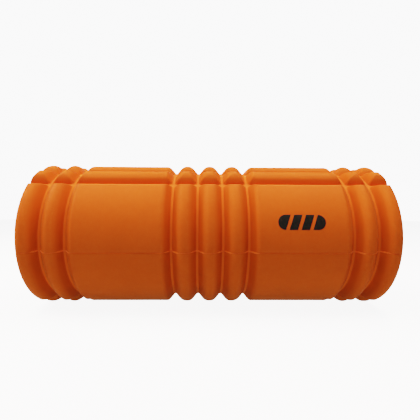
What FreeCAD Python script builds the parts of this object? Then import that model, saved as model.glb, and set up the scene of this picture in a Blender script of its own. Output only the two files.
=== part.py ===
import FreeCAD, Part
import math
import os

from FreeCAD import Vector

# Hollow-core foam roller, lying on its side.
# Frame: X along the roller's axis, +Z up, origin at the middle of the axis.
# Angles go round the axis: 0 deg points to -Y (the front), 90 deg points up (+Z).
# All lengths are in millimetres, all angles in degrees.

# ---- driving dimensions -------------------------------------------------------------
LENGTH = 330.0          # overall length, end face to end face
R_RIDGE = 68.9          # crest radius of the narrow ridges
R_PAD = 68.4            # crest radius of the two wide massage pads
R_END = 69.2            # crest radius of the ridges at each end
GROOVE_DEPTH = 7.5      # depth of every groove, round and lengthwise
GROOVE_FLOOR = 1.0      # half width of a groove's flat floor
FLANK_ANGLE = 48.5      # slope of the groove flanks against the crest
RIDGE_R = 6.2           # rounding from flank to crest on the narrow ridges
PAD_R = 5.2             # the same on the wide pads
ROW_R = 7.5             # the same on the lengthwise grooves
FLOOR_R = 0.9           # rounding from flank to groove floor
END_R = 8.0             # rounding of the outer corner at each end face

MIDDLE_PITCH = 22.3     # spacing of the four ring grooves in the middle
PAD_PITCH = 90.4        # ring groove to ring groove across a wide pad
OUTER_PITCH = 21.55     # spacing of the two ring grooves near each end

PARTING = -10.0         # direction of the plane in which the two foam shells meet
ROW_PITCH = 20.0        # spacing of the lengthwise grooves in each group of four
ROW_GROOVES = 4         # lengthwise grooves in each of the two groups

CORE_OD = 102.0         # rigid core tube
CORE_WALL = 4.0
CORE_CHAMFER = 0.8      # deburred edges at the tube's ends
BOND = 0.3              # thickness of the contact adhesive under each foam shell
SEAM_ANGLE = 0.24       # angle filled by the adhesive between the two shells, about 0.25 mm thick
SEAM_INSET = 0.6        # how far that adhesive stays below the foam's outer surface
SEAM_END = 1.5          # and short of each end face

MARK_LENGTH = 40.0      # printed mark, along the roller
MARK_HEIGHT = 13.0      # printed mark, round the roller
MARK_X = 77.0           # middle of the mark along the axis
MARK_ANGLE = 12.3       # middle of the mark round the axis
MARK_THICK = 0.15       # ink film
MARK_BARS = 3           # slanted gaps across the mark
MARK_GAP = 3.0          # width of each gap
MARK_SLANT = 4.5        # how far a gap leans over the mark's height

# ---- derived dimensions -------------------------------------------------------------
HALF = LENGTH / 2.0
CORE_R = CORE_OD / 2.0
CORE_RI = CORE_R - CORE_WALL
FOAM_RI = CORE_R + BOND
RING = [MIDDLE_PITCH / 2.0, 1.5 * MIDDLE_PITCH,
        1.5 * MIDDLE_PITCH + PAD_PITCH,
        1.5 * MIDDLE_PITCH + PAD_PITCH + OUTER_PITCH]
ROWS = [PARTING + 90.0 + ROW_PITCH * (i - (ROW_GROOVES - 1) / 2.0) for i in range(ROW_GROOVES)]
ROWS = ROWS + [a + 180.0 for a in ROWS]
TAN = math.tan(math.radians(FLANK_ANGLE))
FAR = R_END + 12.0

os.makedirs("parts", exist_ok=True)


def fillet_path(points, radii):
    """Straight runs through the points, with a tangent arc of the given radius at each inner one."""
    edges = []
    here = points[0]
    for i in range(1, len(points) - 1):
        p, r = points[i], radii[i]
        if r <= 0:
            edges.append(Part.LineSegment(here, p).toShape())
            here = p
            continue
        u = (points[i - 1] - p).normalize()
        v = (points[i + 1] - p).normalize()
        half = u.getAngle(v) / 2.0
        t = r / math.tan(half)
        a, b = p + u * t, p + v * t
        mid_dir = (u + v).normalize()
        mid = p + mid_dir * (r / math.sin(half) - r)
        if (a - here).Length > 1e-6:
            edges.append(Part.LineSegment(here, a).toShape())
        edges.append(Part.Arc(a, mid, b).toShape())
        here = b
    edges.append(Part.LineSegment(here, points[-1]).toShape())
    return edges


def ring_profile(inset=0.0, short=0.0):
    """Half section of the foam in the X-Y plane, as a closed face: crests, ring grooves, corners.

    inset lowers the whole outline towards the axis, and short draws both ends in.
    """
    pts, radii = [], []
    half = HALF - short

    def add(x, r, rad):
        pts.append(Vector(x, r, 0))
        radii.append(rad)

    centres = [-c for c in reversed(RING)] + RING
    # crest radius to the left of each groove, and after the last one
    crests = [R_END, R_END, R_PAD, R_RIDGE, R_RIDGE, R_RIDGE, R_PAD, R_END, R_END]
    round_off = {R_END: RIDGE_R, R_RIDGE: RIDGE_R, R_PAD: PAD_R}
    floor_r = R_RIDGE - GROOVE_DEPTH
    add(-half, FOAM_RI + inset, 0)
    add(-half, R_END, END_R - short)
    for i, c in enumerate(centres):
        left, right = crests[i], crests[i + 1]
        wl = GROOVE_FLOOR + (left - floor_r) / TAN
        wr = GROOVE_FLOOR + (right - floor_r) / TAN
        add(c - wl, left, round_off[left])
        add(c - GROOVE_FLOOR, floor_r, FLOOR_R)
        add(c + GROOVE_FLOOR, floor_r, FLOOR_R)
        add(c + wr, right, round_off[right])
    add(half, R_END, END_R - short)
    add(half, FOAM_RI + inset, 0)
    for p in pts:
        p.y -= inset
    edges = fillet_path(pts, radii)
    edges.append(Part.LineSegment(pts[-1], pts[0]).toShape())
    return Part.Face(Part.Wire(Part.__sortEdges__(edges)))


def row_cutter(angle):
    """A straight bar with the section of one lengthwise groove, its shoulders rounded outward."""
    floor_r = R_RIDGE - GROOVE_DEPTH
    lip = R_END + 0.45         # the shoulder arc is carried past the crest, so that it crosses it
    wide = GROOVE_FLOOR + (lip - floor_r) / TAN
    pts = [Vector(0, -wide - 16, FAR), Vector(0, -wide - 16, lip), Vector(0, -wide, lip),
           Vector(0, -GROOVE_FLOOR, floor_r), Vector(0, GROOVE_FLOOR, floor_r),
           Vector(0, wide, lip), Vector(0, wide + 16, lip), Vector(0, wide + 16, FAR)]
    radii = [0, 0, ROW_R, FLOOR_R, FLOOR_R, ROW_R, 0, 0]
    edges = fillet_path(pts, radii)
    edges.append(Part.LineSegment(pts[-1], pts[0]).toShape())
    face = Part.Face(Part.Wire(Part.__sortEdges__(edges)))
    face.translate(Vector(-HALF - 5, 0, 0))
    bar = face.extrude(Vector(LENGTH + 10, 0, 0))
    # the bar is made for straight up (90 deg); turn it about the axis to its own angle
    bar.rotate(Vector(0, 0, 0), Vector(1, 0, 0), 90.0 - angle)
    return bar


def half_space(side):
    """A box that holds everything on one side of the parting plane."""
    box = Part.makeBox(LENGTH + 40, 4 * FAR, 2 * FAR, Vector(-HALF - 20, -2 * FAR, 0))
    if side < 0:
        box.translate(Vector(0, 0, -2 * FAR))
    box.rotate(Vector(0, 0, 0), Vector(1, 0, 0), -PARTING)
    return box


def ring(r_out, r_in, x0, x1):
    outer = Part.makeCylinder(r_out, x1 - x0, Vector(x0, 0, 0), Vector(1, 0, 0))
    inner = Part.makeCylinder(r_in, x1 - x0, Vector(x0, 0, 0), Vector(1, 0, 0))
    return outer.cut(inner)


def solid_of(shape):
    """The one solid in a shape."""
    if isinstance(shape, Part.Solid):
        return shape
    assert len(shape.Solids) == 1, len(shape.Solids)
    return shape.Solids[0]


# ---- core tube ----------------------------------------------------------------------
def make_core():
    c = CORE_CHAMFER
    pts = [Vector(-HALF, CORE_RI + c, 0), Vector(-HALF, CORE_R - c, 0), Vector(-HALF + c, CORE_R, 0),
           Vector(HALF - c, CORE_R, 0), Vector(HALF, CORE_R - c, 0), Vector(HALF, CORE_RI + c, 0),
           Vector(HALF - c, CORE_RI, 0), Vector(-HALF + c, CORE_RI, 0), Vector(-HALF, CORE_RI + c, 0)]
    face = Part.Face(Part.makePolygon(pts))
    return solid_of(face.revolve(Vector(0, 0, 0), Vector(1, 0, 0), 360))


# ---- foam shells --------------------------------------------------------------------
def make_foam():
    """The upper shell, and the lower one, which is the same moulding turned by half a turn."""
    face = ring_profile()
    # the profile is drawn towards +Y (180 deg); the shell starts half a seam off the parting plane
    face.rotate(Vector(0, 0, 0), Vector(1, 0, 0), -PARTING + SEAM_ANGLE / 2.0)
    shell = solid_of(face.revolve(Vector(0, 0, 0), Vector(1, 0, 0), 180 - SEAM_ANGLE))
    for angle in ROWS[:ROW_GROOVES]:
        shell = solid_of(shell.cut(row_cutter(angle)))
    other = shell.copy()
    other.rotate(Vector(0, 0, 0), Vector(1, 0, 0), 180)
    return [shell, other]


# ---- adhesive -----------------------------------------------------------------------
def make_bond():
    film = ring(FOAM_RI, CORE_R, -HALF + 4.0, HALF - 4.0)
    return [solid_of(film.common(half_space(s))) for s in (1, -1)]


def make_seams():
    """The thin wedges of adhesive between the shells: one at the front, one at the rear."""
    face = ring_profile(SEAM_INSET, SEAM_END)
    face.rotate(Vector(0, 0, 0), Vector(1, 0, 0), -PARTING - SEAM_ANGLE / 2.0)
    rear = solid_of(face.revolve(Vector(0, 0, 0), Vector(1, 0, 0), SEAM_ANGLE))
    front = rear.copy()
    front.rotate(Vector(0, 0, 0), Vector(1, 0, 0), 180)
    return [front, rear]


# ---- printed mark -------------------------------------------------------------------
def make_mark():
    """A thin film on the pad: a capsule outline, cut by slanted gaps."""
    w, h = MARK_LENGTH / 2.0, MARK_HEIGHT / 2.0
    z = R_PAD - 10.0
    edges = [Part.LineSegment(Vector(-w + h, -h, z), Vector(w - h, -h, z)).toShape(),
             Part.Arc(Vector(w - h, -h, z), Vector(w, 0, z), Vector(w - h, h, z)).toShape(),
             Part.LineSegment(Vector(w - h, h, z), Vector(-w + h, h, z)).toShape(),
             Part.Arc(Vector(-w + h, h, z), Vector(-w, 0, z), Vector(-w + h, -h, z)).toShape()]
    blank = Part.Face(Part.Wire(Part.__sortEdges__(edges))).extrude(Vector(0, 0, 20))
    step = MARK_LENGTH / (MARK_BARS + 1.0)
    for i in range(MARK_BARS):
        x = -w + step * (i + 1)
        g, s = MARK_GAP / 2.0, MARK_SLANT / 2.0
        quad = Part.Face(Part.makePolygon([Vector(x - g - s, -h - 1, z - 1), Vector(x + g - s, -h - 1, z - 1),
                                           Vector(x + g + s, h + 1, z - 1), Vector(x - g + s, h + 1, z - 1),
                                           Vector(x - g - s, -h - 1, z - 1)]))
        blank = blank.cut(quad.extrude(Vector(0, 0, 24)))
    # drawn for straight up; turn it to its place on the pad
    blank.rotate(Vector(0, 0, 0), Vector(1, 0, 0), 90.0 - MARK_ANGLE)
    blank.translate(Vector(MARK_X, 0, 0))
    film = ring(R_PAD + MARK_THICK, R_PAD, MARK_X - MARK_LENGTH, MARK_X + MARK_LENGTH)
    return film.common(blank)


core = make_core()
foam_upper, foam_lower = make_foam()
bond_upper, bond_lower = make_bond()
seam_front, seam_rear = make_seams()
mark = make_mark()

pieces = {
    "core_tube": core,
    "foam_shell_upper": foam_upper,
    "foam_shell_lower": foam_lower,
    "adhesive_film_upper": bond_upper,
    "adhesive_film_lower": bond_lower,
    "seam_adhesive_front": seam_front,
    "seam_adhesive_rear": seam_rear,
    "printed_mark": mark,
}
for name, shape in pieces.items():
    assert shape.isValid(), name
    box = shape.BoundBox
    print(name, "solids", len(shape.Solids), "volume_cm3", round(shape.Volume / 1000.0, 3),
          "box", [round(v, 3) for v in (box.XMin, box.YMin, box.ZMin, box.XMax, box.YMax, box.ZMax)])
    shape.exportStep("parts/%s.step" % name)
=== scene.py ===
import bpy
import bmesh
import math
import random
import numpy as np
from mathutils import Matrix, Vector


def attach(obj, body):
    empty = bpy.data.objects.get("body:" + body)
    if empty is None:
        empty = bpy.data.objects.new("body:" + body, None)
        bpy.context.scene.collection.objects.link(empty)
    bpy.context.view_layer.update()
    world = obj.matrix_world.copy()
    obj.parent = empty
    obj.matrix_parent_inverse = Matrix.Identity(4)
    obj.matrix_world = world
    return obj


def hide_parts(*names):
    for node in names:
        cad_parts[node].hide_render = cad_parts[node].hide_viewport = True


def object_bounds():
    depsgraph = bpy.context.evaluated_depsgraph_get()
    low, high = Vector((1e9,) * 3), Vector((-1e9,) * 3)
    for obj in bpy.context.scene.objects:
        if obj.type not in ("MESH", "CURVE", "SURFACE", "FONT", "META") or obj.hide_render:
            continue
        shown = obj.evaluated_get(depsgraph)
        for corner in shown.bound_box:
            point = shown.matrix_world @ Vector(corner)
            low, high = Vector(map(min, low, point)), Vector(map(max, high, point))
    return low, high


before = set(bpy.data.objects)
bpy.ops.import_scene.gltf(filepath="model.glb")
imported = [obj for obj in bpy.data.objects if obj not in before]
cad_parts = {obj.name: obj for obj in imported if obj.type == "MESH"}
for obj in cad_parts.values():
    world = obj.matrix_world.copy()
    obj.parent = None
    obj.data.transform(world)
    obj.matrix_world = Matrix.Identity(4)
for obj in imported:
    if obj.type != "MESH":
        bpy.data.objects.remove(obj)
cad_lo, cad_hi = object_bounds()

MM = 0.001
rng = np.random.default_rng(11)
random.seed(11)

# ---------------------------------------------------------------- measurements (mm, deg)
# Angles go round the roller's axis (X): 0 is the front (-Y), 90 is up.
HALF = 165.0
R = 68.9            # narrow ridges
PAD_DROP = 0.5      # the wide pads stand this much lower
END_RISE = 0.3      # the ridges at the ends stand this much higher
DEPTH = 7.5
FLOOR = 0.95        # half width of a groove's floor
FLOOR_R = 0.9
FLANK = 50.3
RIDGE_R = 8.6       # rounding of the narrow ridges
PAD_R = 7.0         # rounding of a pad's edges beside the ring grooves
ROW_R = 10.5        # rounding of the narrow rows
BAND_R = 6.6        # rounding of the wide rows' edges
END_R = 8.0
RING = [11.16, 33.48, 124.25, 145.8]
PARTING = -10.0
ROWS = [50.0, 70.0, 90.0, 110.0]
SEAM = 0.12         # half the angle left for the adhesive between the shells
FOAM_RI = 51.3
CORE_R, CORE_RI = 51.0, 47.0


# ---------------------------------------------------------------- shape of the foam
def groove(s, r_minus, r_plus, flank, depth=DEPTH):
    """Depth below the crest at the signed distance s from a groove's middle line."""
    a = math.radians(flank)
    ta = math.tan(a)
    rv = np.where(s < 0, r_minus, r_plus)
    d = np.abs(s)
    tc = FLOOR_R * math.tan(a / 2)
    tv = rv * math.tan(a / 2)
    c0, c1 = FLOOR - tc, FLOOR + tc * math.cos(a)
    k = FLOOR + depth / ta
    v0, v1 = k - tv * math.cos(a), k + tv
    out = depth - (d - FLOOR) * ta
    out = np.where(d <= c1, depth - (FLOOR_R - np.sqrt(np.maximum(FLOOR_R ** 2 - np.maximum(d - c0, 0) ** 2, 0))), out)
    out = np.where(d > v0, rv - np.sqrt(np.maximum(rv ** 2 - np.maximum(v1 - d, 0) ** 2, 0)), out)
    return np.where(d >= v1, 0.0, out)


def smooth_step(x):
    x = np.clip(x, 0, 1)
    return x * x * (3 - 2 * x)


KINDS = [(RIDGE_R, RIDGE_R), (RIDGE_R, PAD_R), (PAD_R, RIDGE_R), (RIDGE_R, RIDGE_R)]
CORNER = 3.0        # rounding in plan, at the floor, where a ring groove meets a lengthwise one
HIP = 0.9           # rounding of the ridge line that runs up from such a corner


def nearest(v, centres, radii):
    """Signed distance to the nearest groove, and the rounding of the edge on that side of it."""
    s = np.full(np.shape(v), 1e3)
    r = np.full(np.shape(v), 1.0)
    for c, (rn, rp) in zip(centres, radii):
        d = v - c
        near = np.abs(d) < np.abs(s)
        s = np.where(near, d, s)
        r = np.where(near, np.where(d < 0, rn, rp), r)
    return s, r


def ring_side(x):
    return nearest(np.abs(x), RING, KINDS)


def row_side(t):
    """t is the angle from the parting plane, 0 to 180, the same for both shells."""
    arc = np.radians(t + PARTING) * R
    radii = [(BAND_R, ROW_R), (ROW_R, ROW_R), (ROW_R, ROW_R), (ROW_R, BAND_R)]
    return nearest(arc, [math.radians(c) * R for c in ROWS], radii)


def foam_depth(x, t):
    """Depth below the crest. Where the two sets of grooves meet, the floors flare into each other
    round a corner, and a firm hip runs up from it between the two flanks."""
    sx, rx = ring_side(x)
    st, rt = row_side(t)
    dx, dt = np.abs(sx) - FLOOR, np.abs(st) - FLOOR
    gx = groove(dx + FLOOR, rx, rx, FLANK)
    gt = groove(dt + FLOOR, rt, rt, FLANK - 0.4)
    h = np.clip(0.5 + 0.5 * (gx - gt) / HIP, 0, 1)
    hip = gt * (1 - h) + gx * h + HIP * h * (1 - h) * smooth_step(np.minimum(gx, gt) / 1.5)
    a, b = np.maximum(CORNER - dx, 0), np.maximum(CORNER - dt, 0)
    d = np.where((a > 0) & (b > 0), CORNER - np.sqrt(a ** 2 + b ** 2), np.minimum(dx, dt))
    corner = groove(np.maximum(d + FLOOR, 0.0), 3.0, 3.0, FLANK - 0.2)
    corner = np.where((a > 0) & (b > 0), corner, 0.0)
    return np.minimum(np.maximum(hip, corner), DEPTH)


def crest_offset(x):
    """How far each crest stands below (positive) or above the narrow middle ridges."""
    ax = np.abs(x)
    near = np.minimum(np.abs(ax - RING[1]), np.abs(ax - RING[2]))
    pad = PAD_DROP * smooth_step((near - 5.0) / 6.0) * ((ax > RING[1]) & (ax < RING[2]))
    end = -END_RISE * smooth_step((ax - RING[2] - 5.0) / 6.0)
    return pad + end


def end_depth(x):
    e = HALF - np.abs(x)
    return np.where(e < END_R, END_R - np.sqrt(np.maximum(END_R ** 2 - (END_R - e) ** 2, 0)), 0.0)


def wave_noise(x, t, seed, amp, lx, lt):
    """Smooth, seeded unevenness of a moulded skin. It closes on itself round the roller."""
    g = np.random.default_rng(seed)
    out = np.zeros(np.broadcast(x, t).shape)
    for _ in range(7):
        kx = g.uniform(0.4, 1.0) * 2 * math.pi / lx
        kt = max(1, round(g.uniform(0.4, 1.0) * 2 * math.pi * R / lt))
        out = out + np.sin(kx * x + kt * np.radians(t) + g.uniform(0, 6.28)) * g.uniform(0.5, 1.0)
    return out * amp / 3.0


def stations(centre, r_minus, r_plus, flank, flats=7, arcs=9):
    """Signed offsets across a groove, close together where it bends."""
    a = math.radians(flank)
    out = [0.0]
    for side, rv in ((-1, r_minus), (1, r_plus)):
        tc = FLOOR_R * math.tan(a / 2)
        tv = rv * math.tan(a / 2)
        c0, c1 = FLOOR - tc, FLOOR + tc * math.cos(a)
        k = FLOOR + DEPTH / math.tan(a)
        v0, v1 = k - tv * math.cos(a), k + tv
        p = [c0 * 0.5, c0] + [c0 + FLOOR_R * math.sin(a * j / 3) for j in (1, 2, 3)]
        p += list(np.linspace(c1, v0, flats)[1:])
        p += [v1 - rv * math.sin(a * (1 - j / arcs)) for j in range(1, arcs + 1)]
        out += [side * v for v in p]
    return [centre + v for v in out]


def thin_out(values, gap):
    values = sorted(values)
    kept = [values[0]]
    for v in values[1:]:
        if v - kept[-1] >= gap:
            kept.append(v)
    return kept


def x_stations():
    half = []
    for c, (rn, rp) in zip(RING, KINDS):
        half += stations(c, rn, rp, FLANK)
    # a narrow ridge ends at its middle, so that the two grooves beside it share it evenly
    half += [0.0, 0.5 * (RING[0] + RING[1])]
    half += list(np.arange(47.0, 111.0, 2.6))
    half += list(np.linspace(156.0, HALF - END_R, 2))
    half = [v for v in half if 0 <= v <= HALF - END_R]
    half = thin_out(half, 0.22)
    arc = [HALF - END_R + END_R * math.sin(math.radians(p)) for p in np.linspace(0, 90, 15)[1:]]
    half = half + arc
    return np.array(sorted([-v for v in half if v > 0] + half))


def t_stations():
    out = []
    for i, c in enumerate(ROWS):
        st = stations(0.0, BAND_R if i == 0 else ROW_R, BAND_R if i == 3 else ROW_R, FLANK - 0.4)
        lim = math.radians(10.0) * R
        st = [v for v in st if (v > -lim or i == 0) and (v < lim or i == 3)]
        out += [c - PARTING + math.degrees(v / R) for v in st]
    out += [70.0, 90.0, 110.0 - 0.001]
    lo, hi = 60.0 - 11.5, 120.0 + 11.5
    out += list(np.linspace(3.0, lo, 30)) + list(np.linspace(hi, 177.0, 30))
    near = [0.0, 0.08, 0.16, 0.25, 0.36, 0.5, 0.75, 1.2, 2.0]
    out += [v + SEAM for v in near] + [180.0 - SEAM - v for v in near]
    out = [v for v in out if SEAM <= v <= 180.0 - SEAM]
    out = thin_out(out, 0.055)
    out[-1] = 180.0 - SEAM
    return np.array(out)


def foam_radius(x, t, which):
    """x and t are grids. which is 0 for the upper shell and 1 for the lower one."""
    deep = foam_depth(x, t)
    free = smooth_step((3.2 - deep) / 3.2)
    r = R - deep - crest_offset(x) * free
    e = end_depth(x)
    # the rounded outer corner, blended with grooves that run out through the end
    r = np.minimum(r, R + END_RISE - e)
    around = t + 180.0 * which
    r = r + wave_noise(x, around, 5, 0.07, 70.0, 90.0) * free * (e < 0.01)
    r = r + wave_noise(x, around, 8, 0.025, 14.0, 16.0) * (e < 0.01)
    # the moulded edge along each seam is eased, a little unevenly
    for edge, seed in ((SEAM, 21 + which), (180.0 - SEAM, 31 + which)):
        s = np.abs(t - edge) * math.pi / 180.0 * r
        wob = 1.0 + 0.35 * wave_noise(x, np.zeros_like(t), seed, 1.0, 9.0, 400.0)
        r = r - np.clip(0.20 * wob, 0.08, 0.4) * np.clip(1 - s / 0.5, 0, 1) ** 2
    return r


def place(x, t, r):
    a = np.radians(t)
    return np.stack([x, -r * np.cos(a), r * np.sin(a)], -1) * MM


def new_object(name, verts, faces, mats, mat_index=None, smooth=True, sharp=32.0):
    me = bpy.data.meshes.new(name)
    me.from_pydata([tuple(v) for v in verts], [], faces)
    me.validate()
    me.update()
    for m in mats:
        me.materials.append(m)
    if mat_index is not None:
        me.polygons.foreach_set("material_index", mat_index)
    bm = bmesh.new()
    bm.from_mesh(me)
    bmesh.ops.recalc_face_normals(bm, faces=bm.faces)
    for f in bm.faces:
        f.smooth = smooth
    lim = math.radians(sharp)
    for e in bm.edges:
        if len(e.link_faces) == 2:
            e.smooth = e.calc_face_angle(0) < lim
    bm.to_mesh(me)
    bm.free()
    ob = bpy.data.objects.new(name, me)
    bpy.context.scene.collection.objects.link(ob)
    return ob


def build_shell(name, which, mats):
    xs, ts = x_stations(), t_stations()
    X, T = np.meshgrid(xs, ts, indexing="ij")
    r = foam_radius(X, T, which)
    nx, nt = X.shape
    angle = T + PARTING + 180.0 * which
    # the end faces' edges along the seam are eased too
    Xo = X.copy()
    outer = place(Xo, angle, r)
    verts = outer.reshape(-1, 3).tolist()
    faces, tone = [], []
    for i in range(nx - 1):
        for j in range(nt - 1):
            faces.append((i * nt + j, i * nt + j + 1, (i + 1) * nt + j + 1, (i + 1) * nt + j))
    # end faces: from the rounded corner in to a small chamfer beside the core
    rings = []
    for end, i in ((-1, 0), (1, nx - 1)):
        loops = [[i * nt + j for j in range(nt)]]
        for k, (rr, dx) in enumerate(((60.2, 0.0), (58.0, 0.05), (55.0, 0.0), (52.6, 0.0), (51.75, 0.08), (FOAM_RI, 0.6))):
            base = len(verts)
            for j in range(nt):
                ease = 0.0
                for edge in (SEAM, 180.0 - SEAM):
                    s = abs(ts[j] - edge) * math.pi / 180.0 * rr
                    ease = max(ease, 0.4 * max(0.0, 1 - s / 0.7) ** 2)
                xx = end * (HALF - dx - ease)
                verts.append(tuple(place(np.float64(xx), np.float64(angle[0, j]), np.float64(rr))))
            loops.append([base + j for j in range(nt)])
        rings.append(loops)
        for a, b in zip(loops[:-1], loops[1:]):
            for j in range(nt - 1):
                faces.append((a[j], a[j + 1], b[j + 1], b[j]))
    # inner wall, end to end
    a, b = rings[0][-1], rings[1][-1]
    for j in range(nt - 1):
        faces.append((a[j], a[j + 1], b[j + 1], b[j]))
    # the two faces on the parting plane
    for j in (0, nt - 1):
        loop = [i * nt + j for i in range(nx)]
        loop += [lp[j] for lp in rings[1][1:]]
        loop += [lp[j] for lp in reversed(rings[0][1:])]
        faces.append(tuple(loop))
    ob = new_object(name, verts, faces, mats)
    # read by the material: masks for the painted shade on the ring grooves' flanks, the painted light on the
    # lengthwise grooves' flanks, the painted highlight on the groove floors, and how worn
    me = ob.data
    n = len(me.vertices)
    sx, rx = ring_side(X)
    ring = groove(sx, rx, rx, FLANK)
    run = np.gradient(ring, xs, axis=0)
    # painted shade mask: how steep a ring groove's flank is, squared, and left off the floor
    ring_flank_shade = np.clip(np.abs(run) / math.tan(math.radians(FLANK)), 0, 1)
    d = foam_depth(X, T)
    # painted highlight mask: the very floor of every groove
    floor_highlight = smooth_step((d - (DEPTH - 0.16)) / 0.14)
    ring_flank_shade = ring_flank_shade ** 2 * (1 - floor_highlight) * (ring > 0)
    st, rt = row_side(T)
    row = groove(st, rt, rt, FLANK - 0.4)
    fall = np.gradient(row, np.radians(ts) * R, axis=1)
    # painted light mask: the flanks of the lengthwise grooves, to be lightened in the colour
    row_flank_light = np.clip(np.abs(fall) / math.tan(math.radians(FLANK)), 0, 1) ** 2 * (1 - floor_highlight) * (row >= ring)
    edge = np.exp(-((d - 0.45) / 0.5) ** 2)
    for nm, values in (("ring_flank_shade", ring_flank_shade), ("row_flank_light", row_flank_light), ("floor_highlight", floor_highlight), ("wear", edge)):
        arr = np.zeros(n, np.float32)
        arr[: nx * nt] = values.ravel()
        at = me.attributes.new(nm, "FLOAT", "POINT")
        at.data.foreach_set("value", arr)
    return ob


# ---------------------------------------------------------------- materials
class Nodes:
    """A short way to write a node tree."""

    def __init__(self, name):
        self.mat = bpy.data.materials.new(name)
        self.mat.use_nodes = True
        self.t = self.mat.node_tree
        self.bsdf = self.t.nodes["Principled BSDF"]
        self.coord = self.t.nodes.new("ShaderNodeTexCoord")

    def link(self, a, b):
        self.t.links.new(a, b)

    def node(self, kind, **values):
        n = self.t.nodes.new(kind)
        for k, v in values.items():
            if hasattr(n, k):
                setattr(n, k, v)
            else:
                n.inputs[k].default_value = v
        return n

    def mapped(self, scale):
        m = self.node("ShaderNodeMapping")
        m.inputs["Scale"].default_value = scale
        self.link(self.coord.outputs["Object"], m.inputs["Vector"])
        return m.outputs["Vector"]

    def noise(self, scale, detail=2.0, rough=0.5, vector=None):
        """scale: features per millimetre."""
        n = self.node("ShaderNodeTexNoise")
        n.inputs["Scale"].default_value = scale * 1000.0
        n.inputs["Detail"].default_value = detail
        n.inputs["Roughness"].default_value = rough
        self.link(vector or self.coord.outputs["Object"], n.inputs["Vector"])
        return n.outputs["Fac"]

    def math(self, op, a, b=None, clamp=False):
        n = self.node("ShaderNodeMath", operation=op)
        n.use_clamp = clamp
        for i, v in enumerate((a, b)):
            if v is None:
                continue
            if isinstance(v, (int, float)):
                n.inputs[i].default_value = v
            else:
                self.link(v, n.inputs[i])
        return n.outputs[0]

    def remap(self, v, lo, hi, to_lo, to_hi, smooth=False):
        n = self.node("ShaderNodeMapRange")
        n.interpolation_type = "SMOOTHSTEP" if smooth else "LINEAR"
        n.inputs["From Min"].default_value = lo
        n.inputs["From Max"].default_value = hi
        n.inputs["To Min"].default_value = to_lo
        n.inputs["To Max"].default_value = to_hi
        self.link(v, n.inputs["Value"])
        return n.outputs["Result"]

    def mix(self, fac, a, b, blend="MIX"):
        n = self.node("ShaderNodeMix", data_type="RGBA", blend_type=blend)
        n.clamp_factor = True
        for sock, v in ((n.inputs[0], fac), (n.inputs[6], a), (n.inputs[7], b)):
            if isinstance(v, (int, float)):
                sock.default_value = v
            elif isinstance(v, tuple):
                sock.default_value = v if len(v) == 4 else v + (1.0,)
            else:
                self.link(v, sock)
        return n.outputs[2]

    def attribute(self, name):
        n = self.node("ShaderNodeAttribute")
        n.attribute_name = name
        return n.outputs["Fac"]

    def bump(self, height, distance_mm, strength=1.0, normal=None):
        n = self.node("ShaderNodeBump")
        n.inputs["Strength"].default_value = strength
        n.inputs["Distance"].default_value = distance_mm * MM
        self.link(height, n.inputs["Height"])
        if normal:
            self.link(normal, n.inputs["Normal"])
        return n.outputs["Normal"]


# strengths of the painted shade, painted light and painted highlight that follow the grooves
RING_FLANK_SHADE_TINT = 0.44
ROW_FLANK_LIGHT_TINT = 0.5
FLOOR_HIGHLIGHT_TINT = 0.45


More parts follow.
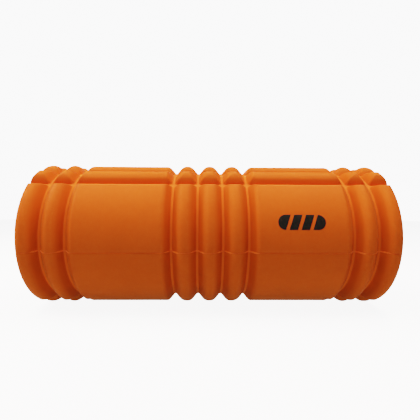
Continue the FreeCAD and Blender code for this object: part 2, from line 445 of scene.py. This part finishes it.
def foam_material():
    m = Nodes("eva_foam")
    ring_flank_shade, row_flank_light, floor_highlight, wear = (m.attribute(v) for v in ("ring_flank_shade", "row_flank_light", "floor_highlight", "wear"))
    big = m.noise(0.022, 3.0, 0.55)
    mid = m.noise(0.16, 3.0, 0.6)
    fine = m.noise(1.5, 2.0, 0.6)
    base = m.mix(m.remap(big, 0.35, 0.65, 0, 1), (0.590, 0.103, 0.0205), (0.615, 0.110, 0.0225))
    base = m.mix(m.remap(mid, 0.4, 0.62, 0.0, 0.18), base, (0.54, 0.088, 0.0180))
    base = m.mix(m.remap(fine, 0.38, 0.62, 0.0, 0.16), base, (0.66, 0.128, 0.0260))
    # painted shade: the flanks beside a ring groove are darkened in the colour, as the groove would shade them
    base = m.mix(m.math("MULTIPLY", ring_flank_shade, RING_FLANK_SHADE_TINT), base, (0.42, 0.058, 0.0060))
    # painted light: the flanks of the lengthwise grooves are lightened in the colour, as light from the front would
    base = m.mix(m.math("MULTIPLY", row_flank_light, ROW_FLANK_LIGHT_TINT), base, (0.66, 0.150, 0.0340))
    # painted highlight: the groove floors are lightened in the colour, as light catching them would
    base = m.mix(m.math("MULTIPLY", floor_highlight, FLOOR_HIGHLIGHT_TINT), base, (0.86, 0.165, 0.0340))
    # handled edges: drier and a little paler, in patches
    scuff = m.math("MULTIPLY", wear, m.remap(m.noise(0.35, 4.0, 0.65), 0.42, 0.66, 0.0, 0.18))
    base = m.mix(scuff, base, (0.66, 0.165, 0.040))
    # a few pale nicks
    v = m.node("ShaderNodeTexVoronoi", feature="F1")
    v.inputs["Scale"].default_value = 62.0
    v.inputs["Randomness"].default_value = 1.0
    m.link(m.coord.outputs["Object"], v.inputs["Vector"])
    pick = m.node("ShaderNodeSeparateColor")
    m.link(v.outputs["Color"], pick.inputs[0])
    chosen = m.math("GREATER_THAN", pick.outputs[0], 0.80)
    size = m.math("MULTIPLY", pick.outputs[1], 0.046)
    dot = m.math("LESS_THAN", v.outputs["Distance"], size)
    nick = m.math("MULTIPLY", m.math("MULTIPLY", chosen, dot), 0.55)
    base = m.mix(nick, base, (0.80, 0.29, 0.09))
    m.link(base, m.bsdf.inputs["Base Color"])
    rough = m.remap(m.noise(0.5, 3.0, 0.6), 0.35, 0.65, 0.52, 0.66)
    rough = m.math("SUBTRACT", rough, m.math("MULTIPLY", wear, 0.05))
    m.link(rough, m.bsdf.inputs["Roughness"])
    # closed-cell skin: fine grain over a soft orange peel, and pin-prick cells
    cells = m.node("ShaderNodeTexVoronoi", feature="F1")
    cells.inputs["Scale"].default_value = 1250.0
    m.link(m.coord.outputs["Object"], cells.inputs["Vector"])
    n1 = m.bump(m.noise(0.30, 2.0, 0.5), 0.10, 0.5)
    n2 = m.bump(m.noise(1.6, 3.0, 0.6), 0.055, 0.7, n1)
    n3 = m.bump(cells.outputs["Distance"], 0.05, 0.5, n2)
    m.link(n3, m.bsdf.inputs["Normal"])
    m.bsdf.inputs["IOR"].default_value = 1.45
    m.bsdf.inputs["Specular IOR Level"].default_value = 0.03
    m.bsdf.inputs["Specular Tint"].default_value = (1.0, 0.72, 0.45, 1.0)
    m.bsdf.inputs["Sheen Weight"].default_value = 0.14
    m.bsdf.inputs["Sheen Roughness"].default_value = 0.35
    m.bsdf.inputs["Sheen Tint"].default_value = (1.0, 0.48, 0.14, 1.0)
    return m.mat


def core_material():
    m = Nodes("core_plastic")
    # fine die lines along the tube
    along = m.mapped((9.0, 700.0, 700.0))
    n = m.node("ShaderNodeTexNoise")
    n.inputs["Scale"].default_value = 1.0
    n.inputs["Detail"].default_value = 4.0
    m.link(along, n.inputs["Vector"])
    lines = n.outputs["Fac"]
    blotch = m.noise(0.05, 3.0, 0.6)
    base = m.mix(m.remap(blotch, 0.35, 0.65, 0, 1), (0.016, 0.016, 0.017), (0.026, 0.026, 0.028))
    base = m.mix(m.remap(lines, 0.55, 0.75, 0.0, 0.5), base, (0.045, 0.045, 0.047))
    dust = m.remap(m.noise(0.9, 4.0, 0.7), 0.60, 0.78, 0.0, 0.30)
    base = m.mix(dust, base, (0.085, 0.080, 0.075))
    m.link(base, m.bsdf.inputs["Base Color"])
    m.link(m.remap(lines, 0.3, 0.7, 0.30, 0.46), m.bsdf.inputs["Roughness"])
    n1 = m.bump(lines, 0.06, 0.5)
    n2 = m.bump(m.noise(0.12, 2.0, 0.5), 0.25, 0.35, n1)
    m.link(n2, m.bsdf.inputs["Normal"])
    m.bsdf.inputs["Specular IOR Level"].default_value = 0.5
    return m.mat


def cut_material():
    """The sawn ends of the core tube: duller, with fine saw marks."""
    m = Nodes("core_sawn")
    w = m.node("ShaderNodeTexWave", wave_type="BANDS", bands_direction="Z")
    w.inputs["Scale"].default_value = 420.0
    w.inputs["Distortion"].default_value = 3.0
    w.inputs["Detail"].default_value = 3.0
    w.inputs["Detail Scale"].default_value = 2.0
    m.link(m.coord.outputs["Object"], w.inputs["Vector"])
    base = m.mix(m.remap(w.outputs["Fac"], 0.2, 0.8, 0, 1), (0.030, 0.030, 0.031), (0.052, 0.051, 0.050))
    base = m.mix(m.remap(m.noise(1.2, 3.0, 0.6), 0.5, 0.7, 0, 0.4), base, (0.09, 0.088, 0.085))
    m.link(base, m.bsdf.inputs["Base Color"])
    m.bsdf.inputs["Roughness"].default_value = 0.62
    m.link(m.bump(w.outputs["Fac"], 0.05, 0.6), m.bsdf.inputs["Normal"])
    return m.mat


def glue_material():
    m = Nodes("contact_adhesive")
    base = m.mix(m.remap(m.noise(0.25, 4.0, 0.6), 0.35, 0.65, 0, 1), (0.46, 0.20, 0.045), (0.62, 0.33, 0.10))
    m.link(base, m.bsdf.inputs["Base Color"])
    m.link(m.remap(m.noise(0.5, 2.0, 0.5), 0.3, 0.7, 0.3, 0.5), m.bsdf.inputs["Roughness"])
    m.link(m.bump(m.noise(0.6, 3.0, 0.6), 0.12, 0.6), m.bsdf.inputs["Normal"])
    return m.mat


def ink_material():
    m = Nodes("screen_ink")
    base = m.mix(m.remap(m.noise(0.4, 3.0, 0.6), 0.35, 0.65, 0, 1), (0.010, 0.009, 0.008), (0.022, 0.017, 0.014))
    pin = m.remap(m.noise(2.6, 2.0, 0.6), 0.70, 0.76, 0.0, 0.7)
    base = m.mix(pin, base, (0.45, 0.085, 0.02))
    m.link(base, m.bsdf.inputs["Base Color"])
    m.link(m.remap(m.noise(0.7, 2.0, 0.5), 0.3, 0.7, 0.42, 0.58), m.bsdf.inputs["Roughness"])
    n1 = m.bump(m.noise(1.6, 3.0, 0.6), 0.05, 0.6)
    m.link(n1, m.bsdf.inputs["Normal"])
    m.bsdf.inputs["Specular IOR Level"].default_value = 0.4
    return m.mat


# ---------------------------------------------------------------- pieces
foam = foam_material()
upper = build_shell("foam_upper_moulding", 0, [foam])
lower = build_shell("foam_lower_moulding", 1, [foam])
for ob, node in ((upper, "foam_shell_upper"), (lower, "foam_shell_lower")):
    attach(ob, "root")
    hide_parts(node)


def build_core():
    n = 180
    c = 0.8
    prof = [(-HALF, CORE_RI + c), (-HALF, CORE_R - c), (-HALF + 0.25, CORE_R - 0.25 * c), (-HALF + c, CORE_R),
            (HALF - c, CORE_R), (HALF - 0.25, CORE_R - 0.25 * c), (HALF, CORE_R - c), (HALF, CORE_RI + c),
            (HALF - 0.25, CORE_RI + 0.25 * c), (HALF - c, CORE_RI), (-HALF + c, CORE_RI), (-HALF + 0.25, CORE_RI + 0.25 * c)]
    verts, faces, mi = [], [], []
    for x, r in prof:
        for k in range(n):
            a = 2 * math.pi * k / n
            verts.append((x * MM, -r * MM * math.cos(a), r * MM * math.sin(a)))
    m = len(prof)
    for i in range(m):
        i2 = (i + 1) % m
        for k in range(n):
            k2 = (k + 1) % n
            faces.append((i * n + k, i * n + k2, i2 * n + k2, i2 * n + k))
            mi.append(1 if i in (0, 6) else 0)
    return new_object("core_tube_turned", verts, faces, [core_material(), cut_material()], mi, sharp=30.0)


core = build_core()
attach(core, "root")
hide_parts("core_tube")


def build_mark():
    """Four slanted patches inside a capsule outline, as a thin film that follows the pad."""
    length, height, gap, lean = 40.0, 13.0, 3.0, 4.5
    cx, ct = 77.0, 12.3
    w, h = length / 2, height / 2
    step = length / 4.0
    outline = []
    for k in range(49):
        a = -math.pi / 2 + math.pi * k / 48
        outline.append((w - h + h * math.cos(a), h * math.sin(a)))
    for k in range(49):
        a = math.pi / 2 + math.pi * k / 48
        outline.append((-(w - h) + h * math.cos(a), h * math.sin(a)))
    bm = bmesh.new()
    for part in range(4):
        lo = -w - 5 if part == 0 else -w + step * part + gap / 2
        hi = w + 5 if part == 3 else -w + step * (part + 1) - gap / 2
        tmp = bmesh.new()
        vs = [tmp.verts.new((x, y, 0)) for x, y in outline]
        tmp.faces.new(vs)
        n = Vector((height, -lean, 0)).normalized()      # across the slanted cut
        for edge, sign in ((lo, -1), (hi, 1)):
            if abs(edge) > w:
                continue
            bmesh.ops.bisect_plane(tmp, geom=tmp.verts[:] + tmp.edges[:] + tmp.faces[:], plane_co=(edge, 0, 0),
                                   plane_no=n * sign, clear_outer=True)
        for k in range(1, 13):
            y = -h + height * k / 13
            bmesh.ops.bisect_plane(tmp, geom=tmp.verts[:] + tmp.edges[:] + tmp.faces[:], plane_co=(0, y, 0), plane_no=(0, 1, 0))
        top = bmesh.ops.extrude_face_region(tmp, geom=tmp.faces[:])
        for v in top["geom"]:
            if isinstance(v, bmesh.types.BMVert):
                v.co.z = 1.0
        me = bpy.data.meshes.new("tmp")
        bmesh.ops.recalc_face_normals(tmp, faces=tmp.faces)
        tmp.to_mesh(me)
        tmp.free()
        bm.from_mesh(me)
        bpy.data.meshes.remove(me)
    rp = R - PAD_DROP
    for v in bm.verts:
        x, y, z = v.co
        t = ct + math.degrees(y / rp)
        # the film sits on the pad as the pad really is there, and is 0.12 thick
        base = float(foam_radius(np.array([[cx + x]]), np.array([[t - PARTING]]), 0)[0, 0])
        r = base + (0.13 if z > 0.5 else -0.05)
        a = math.radians(t)
        v.co = Vector(((cx + x) * MM, -r * math.cos(a) * MM, r * math.sin(a) * MM))
    bmesh.ops.recalc_face_normals(bm, faces=bm.faces)
    for f in bm.faces:
        f.smooth = True
    for e in bm.edges:
        if len(e.link_faces) == 2:
            e.smooth = e.calc_face_angle(0) < 0.6
    me = bpy.data.meshes.new("mark_print")
    bm.to_mesh(me)
    bm.free()
    me.materials.append(ink_material())
    ob = bpy.data.objects.new("mark_print", me)
    bpy.context.scene.collection.objects.link(ob)
    return ob


mark = build_mark()
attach(mark, "root")
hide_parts("printed_mark")

def build_bond(name, angle, mat, seed):
    """The glue in the joint between the two shells. It stands just below the crests, and in the grooves,
    where nobody could trim it, it has squeezed out into a low uneven bead."""
    g = np.random.default_rng(seed)
    xs = x_stations()
    fine = np.arange(-HALF + 0.4, HALF - 0.39, 0.55)
    xs = np.array(thin_out(sorted([v for v in xs if abs(v) < HALF - 0.4] + list(fine)), 0.18))
    xs[0], xs[-1] = -HALF + 0.35, HALF - 0.35
    mid = np.full_like(xs, SEAM)
    surface = foam_radius(xs, mid + 0.9, 0)
    lean = 2.6 * (1 if seed % 2 else -1)
    depth = np.maximum(foam_depth(xs, mid + 0.9), foam_depth(xs - lean, mid + 0.9) * 0.8)
    b = smooth_step((depth - 1.6) / 3.0)
    wob = wave_noise(xs, np.zeros_like(xs), seed, 1.0, 7.0, 400.0)
    b = np.clip(b * (0.82 + 0.22 * wob), 0, 1.15)
    wander = 0.30 * wave_noise(xs, np.zeros_like(xs), seed + 1, 1.0, 26.0, 400.0) * b
    gap = 0.13
    w = gap + 0.80 * b
    top = -0.14 + 0.58 * b
    sections = []
    for i, x in enumerate(xs):
        rs = surface[i]
        prof = [(-gap, FOAM_RI + 0.6), (-gap, rs - 0.45), (-w[i] + wander[i], rs - 0.07), (-0.72 * w[i] + wander[i], rs - 0.07 + (top[i] + 0.07) * 0.60),
                (-0.36 * w[i] + wander[i], rs - 0.07 + (top[i] + 0.07) * 0.92), (wander[i], rs + top[i]),
                (0.36 * w[i] + wander[i], rs - 0.07 + (top[i] + 0.07) * 0.92), (0.72 * w[i] + wander[i], rs - 0.07 + (top[i] + 0.07) * 0.60),
                (w[i] + wander[i], rs - 0.07), (gap, rs - 0.45), (gap, FOAM_RI + 0.6)]
        sections.append([tuple(place(np.float64(x), np.float64(angle + math.degrees(a / rr)), np.float64(rr))) for a, rr in prof])
    n = len(sections[0])
    verts = [v for sec in sections for v in sec]
    faces = []
    for i in range(len(sections) - 1):
        for k in range(n):
            k2 = (k + 1) % n
            faces.append((i * n + k, i * n + k2, (i + 1) * n + k2, (i + 1) * n + k))
    faces.append(tuple(range(n)))
    faces.append(tuple((len(sections) - 1) * n + k for k in range(n)))
    return new_object(name, verts, faces, [mat], sharp=50.0)


def bond_material():
    """Glue tinted by the foam it has soaked into."""
    m = Nodes("bond_line")
    base = m.mix(m.remap(m.noise(0.4, 3.0, 0.6), 0.35, 0.65, 0, 1), (0.70, 0.112, 0.019), (0.80, 0.150, 0.030))
    m.link(base, m.bsdf.inputs["Base Color"])
    m.link(m.remap(m.noise(0.9, 2.0, 0.5), 0.3, 0.7, 0.40, 0.55), m.bsdf.inputs["Roughness"])
    m.link(m.bump(m.noise(1.4, 3.0, 0.6), 0.06, 0.6), m.bsdf.inputs["Normal"])
    m.bsdf.inputs["Specular IOR Level"].default_value = 0.12
    return m.mat


bond = bond_material()
for name, node, angle, seed in (("seam_bond_front", "seam_adhesive_front", PARTING, 61),
                                ("seam_bond_rear", "seam_adhesive_rear", PARTING + 180.0, 72)):
    ob = build_bond(name, angle, bond, seed)
    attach(ob, "root")
    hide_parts(node)

glue = glue_material()
for node in ("adhesive_film_upper", "adhesive_film_lower"):
    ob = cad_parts[node]
    if not ob.material_slots:
        ob.data.materials.append(glue)
    for s in ob.material_slots:
        s.material = glue

# ---------------------------------------------------------------- floor, light, camera
FLOOR_Z = cad_lo.z


def stage_material(name, tone, glow, colour=(1.0, 1.0, 1.0)):
    m = Nodes(name)
    base = m.mix(m.remap(m.noise(0.004, 2.0, 0.5), 0.4, 0.6, 0, 1), (tone - 0.01,) * 3, (tone + 0.01,) * 3)
    m.link(base, m.bsdf.inputs["Base Color"])
    m.bsdf.inputs["Roughness"].default_value = 0.9
    m.bsdf.inputs["Specular IOR Level"].default_value = 0.0
    m.bsdf.inputs["Emission Color"].default_value = colour + (1,)
    m.bsdf.inputs["Emission Strength"].default_value = glow
    return m.mat


def stage_object(name, verts, faces, mat, camera, light):
    """camera: the camera sees it. light: it gives and stops light."""
    me = bpy.data.meshes.new(name)
    me.from_pydata(verts, [], faces)
    me.materials.append(mat)
    ob = bpy.data.objects.new(name, me)
    bpy.context.scene.collection.objects.link(ob)
    ob.visible_camera = camera
    ob.visible_diffuse = ob.visible_glossy = ob.visible_shadow = ob.visible_transmission = light
    return ob


def square(half, z):
    return [(-half, -half, z), (half, -half, z), (half, half, z), (-half, half, z)]


def sweep():
    """A white backdrop all round, rising from the floor in one curve."""
    n, verts, faces = 96, [], []
    prof = [(2.6, 0.0), (3.0, 0.02), (3.4, 0.10), (3.75, 0.26), (4.05, 0.52), (4.25, 0.9), (4.35, 1.5), (4.3, 2.4),
            (4.0, 3.2), (3.2, 4.0), (2.0, 4.5), (0.8, 4.7)]
    for r, z in prof:
        for k in range(n):
            a = 2 * math.pi * k / n
            verts.append((r * math.cos(a), r * math.sin(a), FLOOR_Z + z))
    for i in range(len(prof) - 1):
        for k in range(n):
            k2 = (k + 1) % n
            faces.append((i * n + k, i * n + k2, (i + 1) * n + k2, (i + 1) * n + k))
    faces.append(tuple((len(prof) - 1) * n + k for k in range(n)))
    return verts, faces


stage_object("studio_floor", square(2.6 * 1.01, FLOOR_Z - 0.0002), [(0, 1, 2, 3)], stage_material("studio_floor", 0.86, 3.0), True, False)
stage_object("studio_sweep", *sweep(), stage_material("studio_sweep", 0.86, 4.0), True, False)
# the floor as the light meets it: it gives a soft bounce and hides what is below
stage_object("studio_bounce", square(3.0, FLOOR_Z - 0.0004), [(0, 1, 2, 3)], stage_material("studio_bounce", 0.28, 0.48, (0.67, 0.98, 0.95)), False, True)

world = bpy.data.worlds.new("studio")
bpy.context.scene.world = world
world.use_nodes = True
bg = world.node_tree.nodes["Background"]
bg.inputs["Color"].default_value = (1, 1, 1, 1)
bg.inputs["Strength"].default_value = 0.03


def area(name, loc, target, size, size_y, power, color=(1, 1, 1)):
    li = bpy.data.lights.new(name, "AREA")
    li.shape = "RECTANGLE"
    li.size, li.size_y = size, size_y
    li.energy = power
    li.color = color
    ob = bpy.data.objects.new(name, li)
    bpy.context.scene.collection.objects.link(ob)
    ob.location = loc
    ob.rotation_euler = (Vector(target) - Vector(loc)).to_track_quat("-Z", "Y").to_euler()
    ob.visible_camera = False
    return ob


WARM = (1.13, 1.0, 0.91)


def softbox(name, azimuth, elevation, power, size=0.42, distance=0.9):
    """Azimuth 0 is in front (-Y), 90 is to the right (+X)."""
    a, e = math.radians(azimuth), math.radians(elevation)
    loc = (distance * math.sin(a) * math.cos(e), -distance * math.cos(a) * math.cos(e), distance * math.sin(e))
    return area(name, loc, (0, 0, 0), size, size, power, WARM)


softbox("key_left", -90, 38, 5.6)
softbox("top_left", -90, 62, 2.3)
softbox("front_left", -45, 62, 4.5)
softbox("front_right", 45, 68, 2.4)
softbox("key_right", 90, 64, 5.2)
softbox("rim_back", 180, 70, 1.6)
softbox("low_back", 180, 24, 1.6)

cam_data = bpy.data.cameras.new("camera")
cam = bpy.data.objects.new("camera", cam_data)
bpy.context.scene.collection.objects.link(cam)
c = Vector((-4.411, -328.304, 26.291)) * MM
f = Vector((0.011438, 0.999785, -0.017306))
right = Vector((0.999926, -0.011366, 0.004238))
up = right.cross(f)
cam.matrix_world = Matrix(((right.x, up.x, -f.x, c.x), (right.y, up.y, -f.y, c.y), (right.z, up.z, -f.z, c.z), (0, 0, 0, 1)))
cam_data.sensor_width = 36.0
cam_data.lens = 26.815
cam_data.shift_x = 0.00309
cam_data.shift_y = 0.00800
cam_data.clip_start = 0.01
bpy.context.scene.camera = cam

vs = bpy.context.scene.view_settings
vs.view_transform = "Filmic"
vs.look = "High Contrast"
